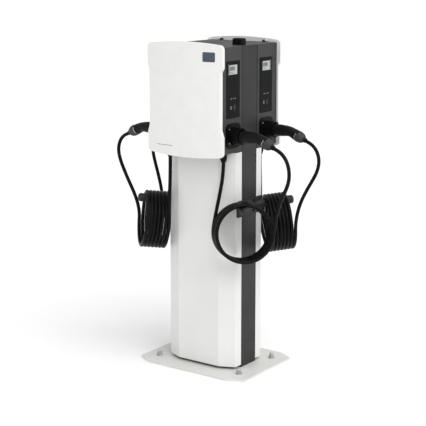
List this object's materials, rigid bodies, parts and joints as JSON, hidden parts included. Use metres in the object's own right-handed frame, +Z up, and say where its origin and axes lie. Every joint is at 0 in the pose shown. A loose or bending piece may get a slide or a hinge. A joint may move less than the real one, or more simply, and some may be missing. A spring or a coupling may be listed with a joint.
{
  "type": "charging post",
  "caption": "Free-standing street charging post: chargers mounted back to back on a steel post, plugs in side holsters, and charging cables coiled on corner rods.",
  "frame": {"origin": "on the floor under the middle of the post, on the underside of the base plate", "axes": "+Z up; -Y is the front, the side of one charger's cover; X runs across the chargers, along which the plugs pull out"},
  "size_m": [0.9418, 0.546, 1.468],
  "materials": {
    "base_steel": "satin",
    "fixing_steel": "satin",
    "dark_powder_coat": "satin",
    "white_powder_coat": "satin",
    "black_plastic": "matte",
    "black_screws": "satin",
    "seal_rubber": "matte",
    "dark_housing_plastic": "satin",
    "display_plastic": "gloss",
    "display_glass": "clear",
    "rail_steel": "zinc plated",
    "device_plastic": "matte",
    "circuit_board": "satin",
    "terminal_plastic": "matte",
    "white_cover_plastic": "satin",
    "plug_nose_plastic": "matte",
    "grip_rubber": "matte",
    "cable_rubber": "satin",
    "toggle_plastic": "satin"
  },
  "bodies": {
    "post": {"base_plate": "base_steel", "anchor_washers": "fixing_steel", "anchor_nuts": "fixing_steel", "post_frame": "dark_powder_coat", "post_cap": "dark_powder_coat", "antenna_housing": "black_plastic", "column_front_shell": "white_powder_coat", "column_rear_shell": "white_powder_coat", "shell_screws": "black_screws", "hanger_brackets": "dark_powder_coat", "hanger_rods": "dark_powder_coat", "hanger_screws": "black_screws", "mounting_plates": "fixing_steel", "hinge_pins": "fixing_steel", "cover_gaskets": "seal_rubber", "front_charger_housing": "dark_housing_plastic", "rear_charger_housing": "dark_housing_plastic", "display_panels": "display_plastic", "display_windows": "display_glass", "holster_screws": "fixing_steel", "cable_glands": "black_plastic", "gland_lock_nuts": "black_plastic", "din_rails": "rail_steel", "circuit_breakers": "device_plastic", "contactors": "device_plastic", "energy_meters": "device_plastic", "controller_boards": "circuit_board", "terminal_blocks": "terminal_plastic", "front_right_holster": "black_plastic", "front_right_cable_coil": "cable_rubber", "front_right_cable_lead_in": "cable_rubber", "front_right_cable_lead_out": "cable_rubber", "front_left_holster": "black_plastic", "front_left_cable_coil": "cable_rubber", "front_left_cable_lead_in": "cable_rubber", "front_left_cable_lead_out": "cable_rubber", "rear_right_holster": "black_plastic", "rear_right_cable_coil": "cable_rubber", "rear_right_cable_lead_in": "cable_rubber", "rear_right_cable_lead_out": "cable_rubber", "rear_left_holster": "black_plastic", "rear_left_cable_coil": "cable_rubber", "rear_left_cable_lead_in": "cable_rubber", "rear_left_cable_lead_out": "cable_rubber"},
    "front_cover_door": {"front_cover": "white_cover_plastic", "front_cover_screws": "fixing_steel"},
    "rear_cover_door": {"rear_cover": "white_cover_plastic", "rear_cover_screws": "fixing_steel"},
    "front_right_plug": {"front_right_plug_nose": "plug_nose_plastic", "front_right_plug_grip": "grip_rubber"},
    "front_right_breaker_lever": {"front_right_breaker_toggle": "toggle_plastic"},
    "front_left_plug": {"front_left_plug_nose": "plug_nose_plastic", "front_left_plug_grip": "grip_rubber"},
    "front_left_breaker_lever": {"front_left_breaker_toggle": "toggle_plastic"},
    "rear_right_plug": {"rear_right_plug_nose": "plug_nose_plastic", "rear_right_plug_grip": "grip_rubber"},
    "rear_right_breaker_lever": {"rear_right_breaker_toggle": "toggle_plastic"},
    "rear_left_plug": {"rear_left_plug_nose": "plug_nose_plastic", "rear_left_plug_grip": "grip_rubber"},
    "rear_left_breaker_lever": {"rear_left_breaker_toggle": "toggle_plastic"}
  },
  "joints": [
    {"name": "front_right_plug_pull", "type": "slide", "parent": "post", "child": "front_right_plug", "axis": [1, 0, 0], "range_m": [0, 0.06], "deforming": ["front_right_cable_lead_out"]},
    {"name": "front_left_plug_pull", "type": "slide", "parent": "post", "child": "front_left_plug", "axis": [-1, 0, 0], "range_m": [0, 0.06], "deforming": ["front_left_cable_lead_out"]},
    {"name": "rear_right_plug_pull", "type": "slide", "parent": "post", "child": "rear_right_plug", "axis": [1, 0, 0], "range_m": [0, 0.06], "deforming": ["rear_right_cable_lead_out"]},
    {"name": "rear_left_plug_pull", "type": "slide", "parent": "post", "child": "rear_left_plug", "axis": [-1, 0, 0], "range_m": [0, 0.06], "deforming": ["rear_left_cable_lead_out"]},
    {"name": "front_cover_hinge", "type": "hinge", "parent": "post", "child": "front_cover_door", "pos_m": [0, -0.211, 1.446], "axis": [-1, 0, 0], "range_deg": [0, 95]},
    {"name": "rear_cover_hinge", "type": "hinge", "parent": "post", "child": "rear_cover_door", "pos_m": [0, 0.211, 1.446], "axis": [1, 0, 0], "range_deg": [0, 95]},
    {"name": "front_right_breaker_switch", "type": "hinge", "parent": "post", "child": "front_right_breaker_lever", "pos_m": [0.05, -0.1315, 1.3], "axis": [1, 0, 0], "range_deg": [0, 80]},
    {"name": "front_left_breaker_switch", "type": "hinge", "parent": "post", "child": "front_left_breaker_lever", "pos_m": [-0.05, -0.1315, 1.3], "axis": [1, 0, 0], "range_deg": [0, 80]},
    {"name": "rear_right_breaker_switch", "type": "hinge", "parent": "post", "child": "rear_right_breaker_lever", "pos_m": [0.05, 0.1315, 1.3], "axis": [-1, 0, 0], "range_deg": [0, 80]},
    {"name": "rear_left_breaker_switch", "type": "hinge", "parent": "post", "child": "rear_left_breaker_lever", "pos_m": [-0.05, 0.1315, 1.3], "axis": [-1, 0, 0], "range_deg": [0, 80]}
  ]
}
